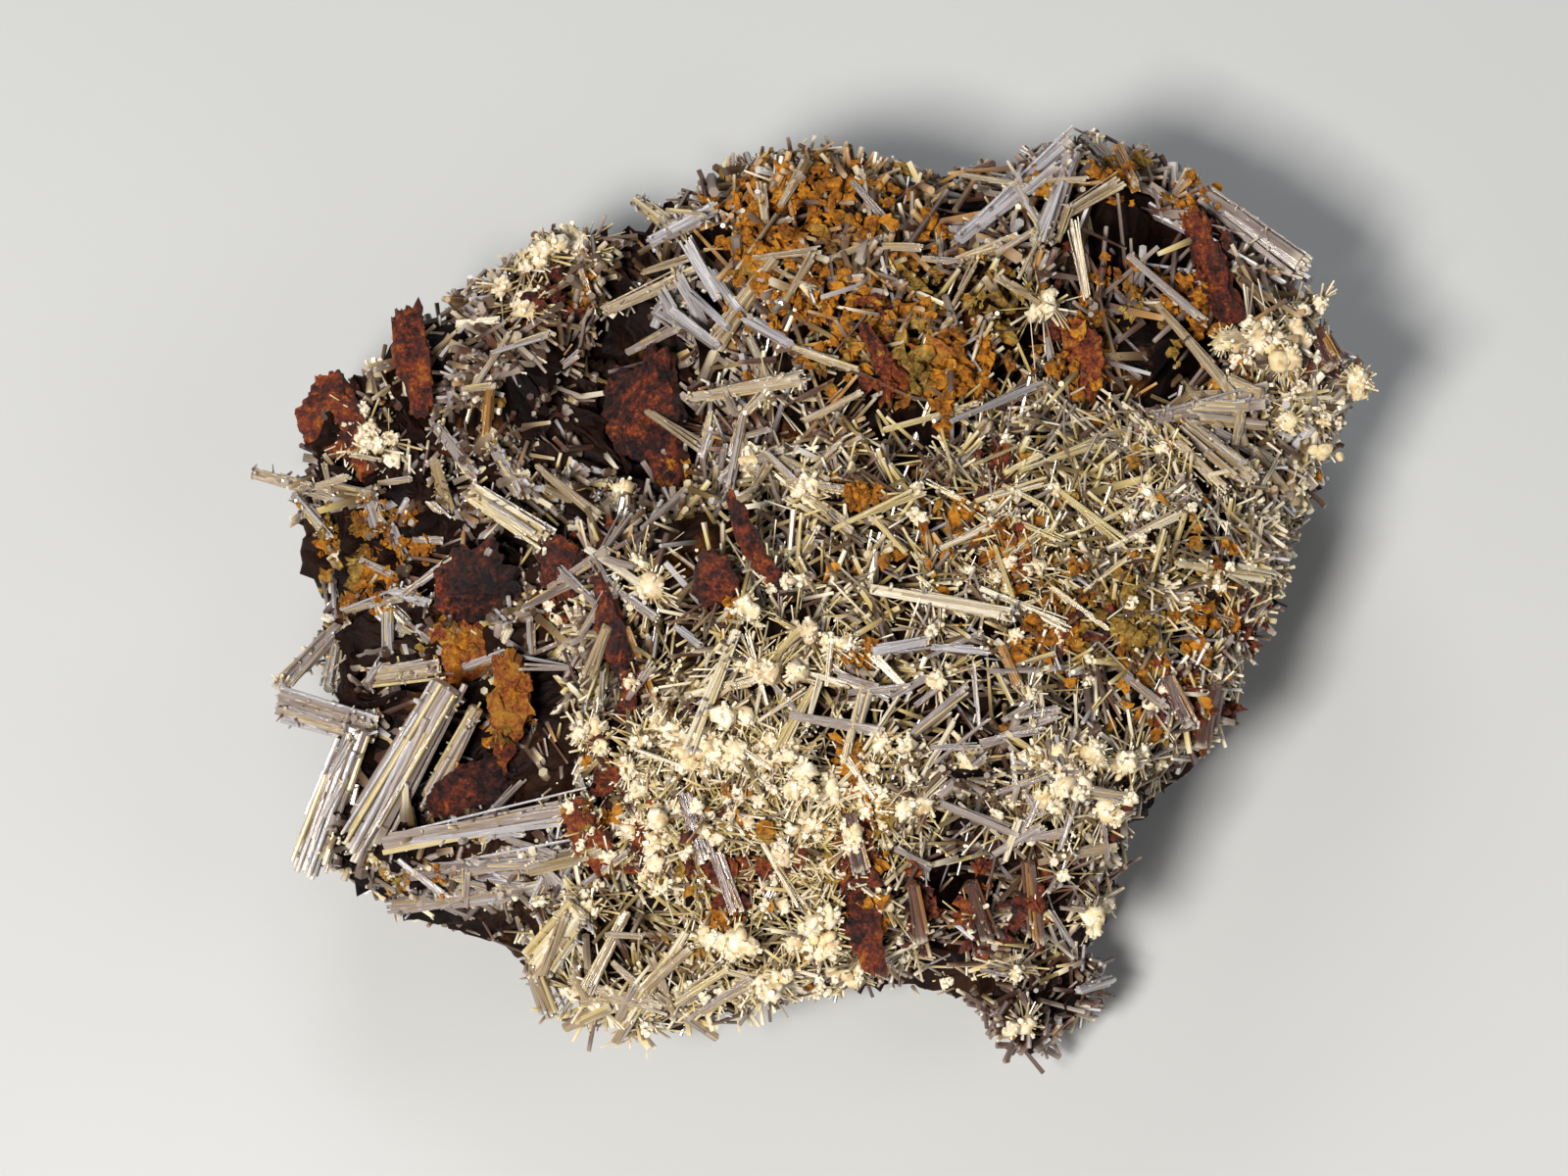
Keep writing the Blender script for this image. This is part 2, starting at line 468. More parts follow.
# The colours at both ends of each tone band, and its roughness.
BAND_COLOURS = (
    ((0.92, 0.82, 0.62), (0.76, 0.62, 0.39)), ((0.78, 0.61, 0.26), (0.50, 0.37, 0.12)),
    ((0.47, 0.34, 0.18), (0.30, 0.20, 0.09)), ((0.40, 0.315, 0.265), (0.21, 0.155, 0.13)),
    ((0.60, 0.57, 0.58), (0.32, 0.29, 0.30)), ((0.15, 0.050, 0.018), (0.05, 0.017, 0.011)),
    ((0.52, 0.25, 0.025), (0.28, 0.115, 0.012)),
)
BAND_ROUGHNESS = (0.55, 0.28, 0.30, 0.18, 0.10, 0.40, 0.90)


def band_stops(pairs):
    return tuple(
        (band + side * TONE_SPREAD, colour)
        for band, pair in zip(BANDS, pairs) for side, colour in zip((-1, 1), pair)
    )


CRYSTAL_COLOURS = band_stops(BAND_COLOURS)
CRYSTAL_ROUGHNESS = band_stops([((value,) * 3,) * 2 for value in BAND_ROUGHNESS])


def fine_crystal_finish():
    """The look of the fine crystals, which depends only on each one's tone and the place along it."""
    finish = Finish("fine crystals", IOR=2.2)
    tone = finish.measure("tone")
    along = finish.measure("along")
    body = finish.ramp(tone, CRYSTAL_COLOURS)
    stained = finish.blend(0.86, body, (0.052, 0.019, 0.006))
    shade = finish.blend(along.between(0.08, 0.9), stained, body)
    pale = finish.blend(0.6, body, (0.92, 0.84, 0.66))
    whitening = along.between(0.80, 1.0) * (0.85 - tone.between(0.30, 0.48) * 0.55)
    tipped = finish.blend(whitening, shade, pale)
    finish.put("Base Color", tipped)
    finish.put("Roughness", finish.ramp(tone, CRYSTAL_ROUGHNESS))
    return finish.material


def coarse_crystal_finish():
    """Striated prisms: fine grooves run along them, with stained streaks and paler ends."""
    finish = Finish("coarse crystals", IOR=2.2)
    tone = finish.measure("tone")
    along = finish.measure("along")
    uv = finish.flow(finish.node("ShaderNodeUVMap", {"uv_map": "grooves"}), "UV")
    grooves = finish.grain(finish.drawn_out(uv, 0.04), 7.0, 3.0)
    streaks = finish.grain(finish.drawn_out(uv, 0.10), 2.2, 4.0)
    blotches = finish.grain(finish.place(), 420.0, 4.0)
    body = finish.ramp(tone, CRYSTAL_COLOURS)
    furrow = finish.blend(0.45, body, (0.07, 0.05, 0.05))
    shade = finish.blend(grooves.between(0.34, 0.56), furrow, body)
    clean = 1 - tone.between(0.70, 0.74)
    washed = finish.blend(streaks.between(0.50, 0.72) * clean * 0.55, shade, (0.68, 0.63, 0.60))
    stained = finish.blend(blotches.between(0.60, 0.72) * 0.6, washed, (0.26, 0.13, 0.03))
    ends = finish.blend(along.between(0.88, 1.0) * 0.5, stained, (0.80, 0.70, 0.52))
    finish.put("Base Color", ends)
    finish.put("Roughness", 0.30 - 0.18 * streaks.between(0.4, 0.7))
    finish.relief(grooves, 0.08 * MM, 0.6)
    return finish.material


def cream_finish(name, pale):
    """Rounded cream heads, waxy, with tan hollows."""
    finish = Finish(name, IOR=1.5)
    place = finish.place()
    spots = finish.grain(place, 700.0, 5.0)
    wide = finish.grain(place, 160.0, 3.0)
    body = finish.ramp(spots, ((0.30, (0.42, 0.25, 0.10)), (0.46, (0.78, 0.62, 0.36)), (0.62, pale)))
    tinted = finish.blend(wide.between(0.50, 0.68) * 0.5, body, (0.74, 0.55, 0.38))
    finish.put("Base Color", tinted)
    finish.put("Roughness", 0.62 - 0.2 * spots)
    finish.relief(spots, 0.15 * MM, 0.7)
    return finish.material


def plate_finish(name, rust):
    """A thin sheet of iron oxide: glossy maroon, rusting to orange and ochre as rust goes to 1."""
    finish = Finish(name, IOR=1.5)
    place = finish.place()
    wide = finish.grain(place, 260.0, 5.0, 0.62, 0.6)
    small = finish.grain(place, 1300.0, 8.0, 0.78)
    grit = finish.grain(place, 3400.0, 4.0, 0.8)
    amount = wide * 0.8 + small * 1.2 + grit * 0.7 - 0.85 + (rust - 0.5) * 0.42
    body = finish.ramp(amount, (
        (0.24, (0.006, 0.003, 0.003)), (0.38, (0.040, 0.009, 0.006)), (0.48, (0.130, 0.017, 0.004)),
        (0.58, (0.280, 0.046, 0.006)), (0.70, (0.400, 0.135, 0.010)), (0.82, (0.480, 0.230, 0.020)),
    ))
    dusted = finish.blend(grit.between(0.60, 0.72) * (0.45 * (1 - rust)), body, (0.22, 0.17, 0.15))
    finish.put("Base Color", dusted)
    finish.put("Roughness", amount.between(0.25, 0.60) * 0.50 + 0.32)
    finish.relief(wide * 0.2 + small * 0.5 + grit * 0.3, 0.7 * MM, 1.0)
    return finish.material


def ochre_finish():
    """Powdery ochre, orange with olive patches."""
    finish = Finish("powdery ochre", IOR=1.4, Roughness=0.95)
    place = finish.place()
    small = finish.grain(place, 2200.0, 6.0, 0.75)
    amount = finish.grain(place, 420.0, 4.0) * 0.6 + small * 0.7 - 0.15
    orange = finish.ramp(amount, (
        (0.34, (0.05, 0.014, 0.003)), (0.46, (0.26, 0.085, 0.006)), (0.56, (0.50, 0.190, 0.010)),
        (0.68, (0.62, 0.290, 0.030)),
    ))
    olive = finish.ramp(amount, (
        (0.34, (0.04, 0.022, 0.006)), (0.50, (0.22, 0.135, 0.022)), (0.66, (0.46, 0.340, 0.090)),
    ))
    shift = finish.grain(place, 150.0, 4.0)
    finish.put("Base Color", finish.blend(shift.between(0.50, 0.60) * 0.85, orange, olive))
    finish.relief(small, 0.2 * MM, 0.9)
    return finish.material


ROCK_COLOURS = (
    (0.32, (0.004, 0.002, 0.002)), (0.44, (0.018, 0.006, 0.004)),
    (0.54, (0.050, 0.015, 0.006)), (0.66, (0.110, 0.040, 0.012)),
)


def rock_finish(name, lightness, shine):
    """Iron-oxide rock: near-black hollows, maroon and brown faces, rusty and ochre patches."""
    finish = Finish(name, IOR=1.5, Specular_IOR_Level=shine)
    place = finish.place()
    wide = finish.grain(place, 90.0, 5.0, 0.6, 0.8)
    small = finish.grain(place, 700.0, 5.0, 0.65)
    patches = finish.grain(place, 160.0, 5.0, 0.7)
    body = finish.ramp(wide * 0.6 + small * 0.4, [
        (spot, [part * lightness for part in colour]) for spot, colour in ROCK_COLOURS
    ])
    rusty = finish.blend(patches.between(0.57, 0.70) * 0.7, body, (0.14, 0.046, 0.007))
    finish.put("Base Color", rusty)
    finish.put("Roughness", small * 0.5 + 0.42)
    finish.relief(small * 0.7 + wide * 0.3, 0.5 * MM, 0.9)
    return finish.material


def tree_of(names):
    """The solids of some nodes, to cast rays at."""
    joined = bmesh.new()
    for name in names:
        joined.from_mesh(NODES[name].data)
    tree = BVHTree.FromBMesh(joined)
    joined.free()
    return tree


def sight(place):
    """The way from the camera through a pixel."""
    across = (place[0] - VIEW_MIDDLE[0]) * STEP
    rise = (VIEW_MIDDLE[1] - place[1]) * STEP
    return (FORWARD * VIEW_DISTANCE + RIGHT * across + UP * rise).normalized()


def seen(place, tree):
    """What the sight line through a pixel meets first: a point and the way its surface faces."""
    point, normal, _, _ = tree.ray_cast(EYE, sight(place))
    if point and normal.dot(FORWARD) > 0:
        normal = -normal
    return point, normal


def pixel_of(points):
    """The pixels at which points show, as an array of two columns."""
    away = points - np.array(EYE)
    depth = away @ np.array(FORWARD)
    across = VIEW_MIDDLE[0] + away[:, 0] / depth * VIEW_DISTANCE / STEP
    down = VIEW_MIDDLE[1] - (away @ np.array(UP)) / depth * VIEW_DISTANCE / STEP
    return np.stack((across, down), axis=1)


def placed(name, data):
    """A new object, linked to the scene."""
    made = bpy.data.objects.new(name, data)
    bpy.context.scene.collection.objects.link(made)
    return made


def new_piece(mesh, material, replaced=()):
    """A piece that is named after its mesh and rides on the specimen."""
    piece = placed(mesh.name, mesh)
    piece.data.materials.append(material)
    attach(piece, "root")
    if replaced:
        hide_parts(*replaced)
    return piece


def mesh_from(name, bm):
    """A mesh made of a bmesh, which is then freed."""
    mesh = bpy.data.meshes.new(name)
    bm.normal_update()
    bm.to_mesh(mesh)
    bm.free()
    return mesh


def noise_place(point, seed):
    """A point in mm, shifted so that each seed reads another part of the noise."""
    return point / MM + Vector((seed, seed * 2, seed * 3))


def shell_of(name, subdivisions, inset, seed):
    """A closed rough skin just under a crust's surface, found by looking inwards from all sides."""
    low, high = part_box(name)
    middle = (low + high) / 2
    reach = (high - low) / 2
    tree = tree_of([name])
    bm = bmesh.new()
    bmesh.ops.create_icosphere(bm, subdivisions=subdivisions, radius=1)
    outside, missed = 3.0, 0.8
    for vertex in bm.verts:
        way = Vector(a * b for a, b in zip(vertex.co, reach))
        hit = tree.ray_cast(middle + way * outside, -way.normalized())[0]
        vertex.co = hit if hit else middle + way * missed
    every_axis = {f"use_axis_{axis}": True for axis in "xyz"}
    for _ in range(3):
        bmesh.ops.smooth_vert(bm, verts=bm.verts, factor=0.5, **every_axis)
    bm.normal_update()
    sinks = hollow_at(np.array([vertex.co for vertex in bm.verts]))[1]
    pushes = []
    for vertex, sink in zip(bm.verts, sinks):
        spot = noise_place(vertex.co, seed)
        bumps = noise.noise(spot / 2.6) * 1.3 + noise.noise(spot / 1.1) * 0.5
        shown = max(0.0, -vertex.normal.dot(FORWARD))
        pushes.append(vertex.normal * (bumps - inset) * MM + FORWARD * sink * shown)
    for vertex, push in zip(bm.verts, pushes):
        vertex.co += push
    return bm


def in_order(triangles):
    """Triangles sorted by place, each from the same corner, however the mesh lists them."""
    count = len(triangles)
    first = np.argmin(triangles @ UNEVEN, axis=1)
    triangles = triangles[np.arange(count)[:, None], (first[:, None] + np.arange(3)) % 3]
    return triangles[np.lexsort(np.round(triangles.mean(axis=1) / SAME_PLACE).T)]


def numbers_of(items, what, width, kind):
    """What is stored on a mesh's items, as rows of an array."""
    values = np.empty(len(items) * width, dtype=kind)
    items.foreach_get(what, values)
    return values.reshape(-1, width)


def triangles_of(mesh):
    """A mesh's triangles as an array of their corners' places."""
    mesh.calc_loop_triangles()
    corners = numbers_of(mesh.loop_triangles, "vertices", 3, np.int32)
    places = numbers_of(mesh.vertices, "co", 3, np.float32)
    return in_order(places[corners].astype(float))


def draws(step):
    """Random numbers for one step, so that a change in it doesn't shift the steps after it."""
    return np.random.default_rng(sum(ord(letter) * (place + 1) for place, letter in enumerate(step)))


def sampled(mesh, count, draw):
    """Points spread evenly over a mesh, with the way its surface faces at each."""
    triangles = triangles_of(mesh)
    first = triangles[:, 1] - triangles[:, 0]
    second = triangles[:, 2] - triangles[:, 0]
    normals = np.cross(first, second)
    area = np.linalg.norm(normals, axis=1)
    picked = draw.choice(len(area), size=count, p=area / area.sum())
    along = draw.random((count, 1))
    across = draw.random((count, 1))
    over = along + across > 1
    along = np.where(over, 1 - along, along)
    across = np.where(over, 1 - across, across)
    points = triangles[picked, 0] + first[picked] * along + second[picked] * across
    return points, normals[picked] / np.maximum(area[picked], TINY)[:, None]


def nearness(pixels, middle, reach, power=1):
    """How near pixels are to a place, from 0 to 1. A higher power gives it a sharper edge."""
    away = (pixels - np.array(middle)) / np.array(reach)
    return np.exp(-((away**2).sum(axis=1) ** power))


def growth_at(points):
    """How the fine crystals grow at each point: density, length, width, lean and tone shares."""
    pixels = pixel_of(points)
    weight, *growth, shares = ELSEWHERE
    weight = np.full(len(points), weight)
    total = weight[:, None] * np.array((*growth, *shares), dtype=float)
    for middle, reach, *growth, shares in REGIONS.values():
        near = nearness(pixels, middle, reach)
        total += near[:, None] * np.array((*growth, *shares), dtype=float)
        weight += near
    return total / weight[:, None]


def hollow_at(points):
    """How much each point lies in a bare place, from 0 to 1, and how deep the ground sinks there."""
    pixels = pixel_of(points)
    bare = np.zeros(len(points))
    sink = np.zeros(len(points))
    for middle, reach, depth in HOLLOWS:
        near = nearness(pixels, middle, reach, 2)
        bare = np.maximum(bare, near)
        sink = np.maximum(sink, near * depth * MM)
    return bare, sink


def unit(vectors):
    return vectors / np.maximum(np.linalg.norm(vectors, axis=1), TINY)[:, None]


def across_of(vectors):
    """Any direction at right angles to each vector."""
    helper = np.where(np.abs(vectors[:, 2:3]) < 0.8, (0.0, 0.0, 1.0), (1.0, 0.0, 0.0))
    return unit(np.cross(vectors, helper))


def kept_inside(roots, ways, lengths, solids, over):
    """Lengths cut so that no crystal ends much outside the solids, or near the ground."""
    step, clear = 0.01 * MM, 0.5 * MM
    cut = lengths.copy()
    for number, (root, way, length) in enumerate(zip(roots, ways, lengths)):
        origin, ray = Vector(root), Vector(way)
        start, left = origin, 0.0
        while True:
            point, normal = solids.ray_cast(start, ray)[:2]
            if not point:
                break
            if normal.dot(ray) > 0:
                left = (point - origin).length
                break
            if (point - origin).length > length:
                break
            start = point + ray * step
        cut[number] = min(length, left + over[number])
        if way[2] < 0:
            cut[number] = min(cut[number], (root[2] - clear) / -way[2])
    return cut


def tangents(normals, draw):
    """A direction along the surface at each normal, turned at random."""
    side = across_of(normals)
    turn = draw.random((len(normals), 1)) * 2 * math.pi
    return side * np.cos(turn) + np.cross(normals, side) * np.sin(turn)


def leaning(normals, lean, draw):
    """Ways that lean away from the normals by so many degrees."""
    lean = np.radians(lean)[:, None]
    return unit(normals * np.cos(lean) + tangents(normals, draw) * np.sin(lean))


def owners(count, fewest, most, draw):
    """Each number below count, repeated for as many crystals as it gets, at least fewest."""
    return np.repeat(np.arange(count), draw.integers(fewest, most, size=count))


def varied(bands, count, draw):
    """Tones a little off those of their bands."""
    return bands + draw.uniform(-TONE_SPREAD, TONE_SPREAD, count)


def picked_from(columns, which):
    return [column[which] for column in columns]


def sized_and_toned(growth, draw):
    """Lengths, radii and tones for crystals that grow as told for their regions."""
    count = len(growth)
    lengths = growth[:, 1] * np.exp(draw.normal(0, LENGTH_SPREAD, count)) * MM
    radii = growth[:, 2] * np.exp(draw.normal(0, WIDTH_SPREAD, count)) * MM / 2
    shares = growth[:, 4:] / growth[:, 4:].sum(axis=1)[:, None]
    bands = (draw.random((count, 1)) > np.cumsum(shares, axis=1)).sum(axis=1).clip(0, len(BANDS) - 1)
    return lengths, radii, varied(np.array(BANDS)[bands], count, draw)


def rooted(mesh, tries, draw):
    """Places to grow on a mesh, more of them where the growth is dense."""
    points, normals = sampled(mesh, tries, draw)
    growth = growth_at(points)
    clumps = np.array([noise.noise(Vector(point) / CLUMP) for point in points])
    share = growth[:, 0] / DENSEST * (0.6 + 1.5 * clumps).clip(0.08, 1.2) * (1 - hollow_at(points)[0])
    kept = (draw.random(tries) < share) & (points[:, 2] > LOWEST_ROOT)
    return picked_from((points, normals, growth), kept)


def sprays(mesh, tries, crystals_each, draw, solids, sunk=0.6):
    """Sprays of crystals that share a root: their roots, ways, lengths, radii and tones."""
    points, normals, growth = rooted(mesh, tries, draw)
    main = leaning(normals, np.clip(draw.normal(growth[:, 3], LEAN_SPREAD), *LEAN_LIMITS), draw)
    owner = owners(len(points), crystals_each[0], crystals_each[1] + 1, draw)
    ways = unit(main[owner] + draw.normal(0, WAY_SPREAD, (len(owner), 3)))
    lengths, radii, tones = sized_and_toned(growth[owner], draw)
    roots = points[owner] + draw.normal(0, ROOT_SPREAD, (len(owner), 3)) - ways * (sunk * MM)
    lengths = kept_inside(roots, ways, lengths, solids, draw.uniform(0.1, 0.8, len(owner)) * MM)
    return picked_from((roots, ways, lengths, radii, tones), lengths > 0.9 * MM)


def straws(mesh, tries, draw, solids):
    """Crystals that lie across each other at all depths of the crust."""
    points, normals, growth = rooted(mesh, tries, draw)
    depth = np.empty(len(points))
    for number, (point, normal) in enumerate(zip(points, normals)):
        away = solids.ray_cast(Vector(point), Vector(normal), DEEPEST_STRAW)[3]
        depth[number] = away or 0.6 * MM
    middles = points + normals * (depth * draw.uniform(0.05, 1.0, len(points)))[:, None]
    rise = np.radians(draw.normal(0, STRAW_RISE, len(points)))[:, None]
    ways = unit(tangents(normals, draw) * np.cos(rise) + normals * np.sin(rise))
    lengths, radii, tones = sized_and_toned(growth, draw)
    over = draw.uniform(0.1, 1.2, len(points)) * MM
    ahead = kept_inside(middles, ways, lengths * STRAW_HALF, solids, over)
    behind = kept_inside(middles, -ways, lengths * STRAW_HALF, solids, over)
    columns = (middles - ways * behind[:, None], ways, ahead + behind, radii, tones)
    return picked_from(columns, ahead + behind > 1.0 * MM)


def tufts(centres, normals, sizes, draw):
    """Stubby cream crystals that stud each head."""
    owner = owners(len(centres), 7, 12, draw)
    count = len(owner)
    ways = unit(unit(draw.normal(0, 1, (count, 3))) + normals[owner] * 0.6)
    lengths = sizes[owner] * draw.uniform(0.75, 1.10, count)
    radii = draw.uniform(0.12, 0.26, count) * MM
    tones = varied(CREAM, count, draw)
    roots = centres[owner] + draw.normal(0, 0.08 * MM, (count, 3))
    return [roots, ways, lengths, radii, tones]


def bursts(centres, normals, draw, solids):
    """Thin crystals that fan out from under each head, low over the crust."""
    owner = owners(len(centres), 8, 17, draw)
    count = len(owner)
    ways = leaning(normals[owner], draw.normal(84, 16, count), draw)
    lengths = draw.uniform(1.4, 4.2, count) * MM
    radii = draw.uniform(0.05, 0.10, count) * MM
    bands = np.array((CREAM, YELLOW, YELLOW, TAN))[draw.integers(0, 4, count)]
    tones = varied(bands, count, draw)
    roots = centres[owner] - normals[owner] * (0.3 * MM)
    lengths = kept_inside(roots, ways, lengths, solids, draw.uniform(0.2, 0.7, count) * MM)
    return picked_from((roots, ways, lengths, radii, tones), lengths > 0.7 * MM)


def crystal_mesh(name, roots, ways, lengths, radii, tones, taper):
    """Many six-sided crystals in one mesh, with tone and along stored on them."""
    count = len(roots)
    side = across_of(ways)
    up = np.cross(ways, side)
    angles = np.arange(SIDES) * math.pi / (SIDES / 2)
    ring = side[:, None] * np.cos(angles)[None, :, None] + up[:, None] * np.sin(angles)[None, :, None]
    ring = ring * radii[:, None, None]
    low = roots[:, None] + ring
    high = roots[:, None] + ways[:, None] * lengths[:, None, None] + ring * taper[:, None, None]
    verts = np.concatenate((low, high), axis=1).reshape(-1, 3)
    turn = np.arange(SIDES)
    after = (turn + 1) % SIDES
    quads = np.stack((turn, after, after + SIDES, turn + SIDES), axis=1)
    start = (np.arange(count) * 2 * SIDES)[:, None, None]
    sides = (quads[None] + start).reshape(-1)
    bottoms = (turn[::-1][None] + start[:, 0]).reshape(-1)
    tops = (turn[None] + SIDES + start[:, 0]).reshape(-1)
    loops = np.concatenate((sides, bottoms, tops)).astype(np.int32)
    sizes = np.concatenate((np.full(count * SIDES, 4), np.full(count * 2, SIDES)))
    starts = np.concatenate(((0,), np.cumsum(sizes)[:-1])).astype(np.int32)
    mesh = bpy.data.meshes.new(name)
    mesh.vertices.add(len(verts))
    mesh.vertices.foreach_set("co", verts.astype(np.float32).ravel())
    mesh.loops.add(len(loops))
    mesh.loops.foreach_set("vertex_index", loops)
    mesh.polygons.add(len(sizes))
    mesh.polygons.foreach_set("loop_start", starts)
    mesh.update(calc_edges=True)
    along = np.tile(np.repeat((0.0, 1.0), SIDES), count)
    tones = np.repeat(tones, 2 * SIDES)
    for kind, values in (("tone", tones), ("along", along)):
        stored = mesh.attributes.new(kind, "FLOAT", "POINT")
        stored.data.foreach_set("value", values.astype(np.float32))
    layer = mesh.uv_layers.new(name="OFBake")
    layer.data.foreach_set("uv", np.stack((tones[loops], along[loops] * 0.98 + 0.01), axis=1).ravel())
    mesh.validate()
    mesh.shade_flat()
    return mesh


def fine_crystals(name, parts, material, draw):
    """Joins the parts into pieces of at most MOST_CRYSTALS, from left to right."""
    joined = [np.concatenate(column) for column in zip(*parts)]
    taper = draw.uniform(0.45, 1.0, len(joined[0]))
    order = np.argsort(pixel_of(joined[0])[:, 0], kind="stable")
    for number, start in enumerate(range(0, len(order), MOST_CRYSTALS)):
        chosen = order[start:start + MOST_CRYSTALS]
        mesh = crystal_mesh(f"{name}_{number + 1}", *picked_from((*joined, taper), chosen))
        new_piece(mesh, material)
    return joined


def coarse_bundle(start, end, width, tone, draw):
    """A coarse crystal as it grows: a bundle of slimmer parallel prisms of uneven length."""
    along = end - start
    length = along.length
    way = along.normalized()
    count = int(np.clip(2 + 14 * width, 5, 44))
    thickest = slice(3)
    radius = width * MM / 2
    side = np.array(way.orthogonal().normalized())
    up = np.cross(np.array(way), side)
    angles = np.arange(count) * GOLDEN_TURN
    rings = np.sqrt((np.arange(count) + 0.3) / count) * radius * 0.82
    offsets = side * (np.cos(angles) * rings)[:, None] + up * (np.sin(angles) * rings)[:, None]
    offsets += draw.normal(0, 0.08, (count, 3)) * radius
    radii = radius * draw.uniform(0.6, 1.3, count) / np.sqrt(count)
    radii[thickest] = radius * np.array((0.70, 0.56, 0.46))
    starts = draw.uniform(-0.04, 0.45, count) * length
    ends = length * (1.04 - draw.uniform(0, 1, count) ** 2 * 0.45)
    starts[thickest], ends[thickest] = 0.0, length * np.array((0.97, 0.90, 1.0))
    roots = np.array(start) + offsets + np.array(way) * starts[:, None]
    ways = unit(np.array(way) * length + offsets * 0.25 + draw.normal(0, 0.03, (count, 3)) * length)
    bands = draw.choice(STREAKS[tone], count)
    bands[thickest] = tone
    tones = varied(bands, count, draw)
    taper = draw.uniform(0.70, 1.0, count)
    return [roots, ways, (ends - starts).clip(0.3 * length), radii, tones, taper]


def druse(start, end, width, draw):
    """Tiny crystals that sit on a coarse crystal, most of them near its ends."""
    along = np.array(end - start)
    way = along / np.linalg.norm(along)
    count = int(16 + 16 * width)
    share = np.where(draw.random(count) < 0.6, draw.beta(0.5, 0.5, count), draw.random(count))
    side = across_of(way[None])[0]
    up = np.cross(way, side)
    turn = draw.uniform(0, 2 * math.pi, count)
    outward = side * np.cos(turn)[:, None] + up * np.sin(turn)[:, None]
    roots = np.array(start) + along * share[:, None] + outward * (width * MM * 0.32)
    ways = unit(outward + draw.normal(0, 0.7, (count, 3)))
    lengths = draw.uniform(0.35, 0.95, count) * MM
    radii = draw.uniform(0.06, 0.15, count) * MM
    bands = draw.choice((CREAM, YELLOW, GREY, GREY, SILVER, SILVER, TAN), count)
    return [roots, ways, lengths, radii, varied(bands, count, draw)]


def grooved_mesh(name, columns):
    """Crystals with a map that runs across each one's girth and up its length, in millimetres."""
    mesh = crystal_mesh(name, *columns)
    mesh.uv_layers.remove(mesh.uv_layers["OFBake"])
    layer = mesh.uv_layers.new(name="grooves")
    count = len(columns[0])
    turn = (np.arange(count) * 5.3)[:, None] + np.tile(np.arange(SIDES) * 0.6, 2)
    rise = (columns[2] / MM)[:, None] * np.repeat((0.0, 1.0), SIDES)
    loops = numbers_of(mesh.loops, "vertex_index", 1, np.int32).ravel()
    layer.data.foreach_set("uv", np.stack((turn.ravel()[loops], rise.ravel()[loops]), axis=1).ravel())
    return mesh


def coarse_ends(first, second, width, tree, ground):
    """Both ends of a coarse crystal in space, found on the solid it stands for."""
    inset = 0.06
    ends = []
    for place, other in ((first, second), (second, first)):
        inner = [a + (b - a) * inset for a, b in zip(place, other)]
        point = seen(inner, tree)[0] or seen(inner, ground)[0]
        ends.append(point + FORWARD * width * MM * 0.45 if point else None)
    if None in ends:
        return None
    span = ends[1] - ends[0]
    return ends[0] - span * inset, ends[1] + span * inset


def build_coarse(material, ground):
    """A bundle for each coarse crystal. Returns the tiny crystals that sit on them."""
    solids = tree_of(COARSE_NODES)
    crumbs = []
    for name, (first, second, width, tone) in COARSE.items():
        draw = draws(name)
        tree = tree_of([name]) if name in NODES else solids
        ends = coarse_ends(first, second, width, tree, ground)
        if ends:
            replaced = (name,) if name in NODES else ()
            mesh = grooved_mesh(f"{name}_crystals", coarse_bundle(*ends, width, tone, draw))
            new_piece(mesh, material, replaced)
            crumbs.append(druse(*ends, width, draw))
    return crumbs


def build_loose(material, ground, skins, draw):
    """Loose slimmer crystals laid over the crust, each a small bundle, joined in one piece."""
    laid = list(LOOSE)
    for middle, reach, count, length, width, tone, heading, vary in LOOSE_FIELDS:
        for _ in range(count):
            at = draw.normal(middle, np.array(reach) * STREWN)
            angle = math.radians(draw.normal(heading, vary))
            half = np.array((math.cos(angle), -math.sin(angle))) * length * draw.uniform(0.3, 0.65)
            laid.append((tuple(at - half), tuple(at + half), width * draw.uniform(0.7, 1.3), tone))
    bundles = []
    for number, (first, second, width, tone) in enumerate(laid):
        ends = coarse_ends(first, second, width, ground, ground)
        shown = math.dist(first, second) * STEP
        if ends and number >= len(LOOSE):
            bare = hollow_at(np.array([(ends[0] + ends[1]) / 2]))[0][0]
            held = all(held_up(end, skins) for end in ends)
            ends = ends if held and draw.random() > bare * 1.5 else None
        if ends and (ends[1] - ends[0]).length < min(LONGEST_LOOSE, shown * 1.7):
            lifted = [end - FORWARD * width * MM * 0.7 for end in ends]
            bundles.append(coarse_bundle(*lifted, width, tone, draw))
    columns = [np.concatenate(column) for column in zip(*bundles)]
    new_piece(grooved_mesh("loose_crystals", columns), material)


def strewn(middle, reach, count, draw):
    """Pixels at random around a place."""
    return [tuple(draw.normal(middle, np.array(reach) * STREWN)) for _ in range(count)]


def lump_template(number, segments, rings, knobs):
    """One lumpy grain: a ball pulled into a few low knobs."""
    bm = bmesh.new()
    bmesh.ops.create_uvsphere(bm, u_segments=segments, v_segments=rings, radius=1)
    bmesh.ops.triangulate(bm, faces=bm.faces)
    shift = Vector((number * 7.3, number * 3.1, 0))
    for vertex in bm.verts:
        wide, small = (noise.noise(vertex.co * often + shift) for often in (1.6, 4))
        vertex.co *= 0.85 + (wide * knobs + small * knobs / 2)
    places = np.array([vertex.co for vertex in bm.verts])
    faces = np.array([[vertex.index for vertex in face.verts] for face in bm.faces])
    bm.free()
    return places, faces


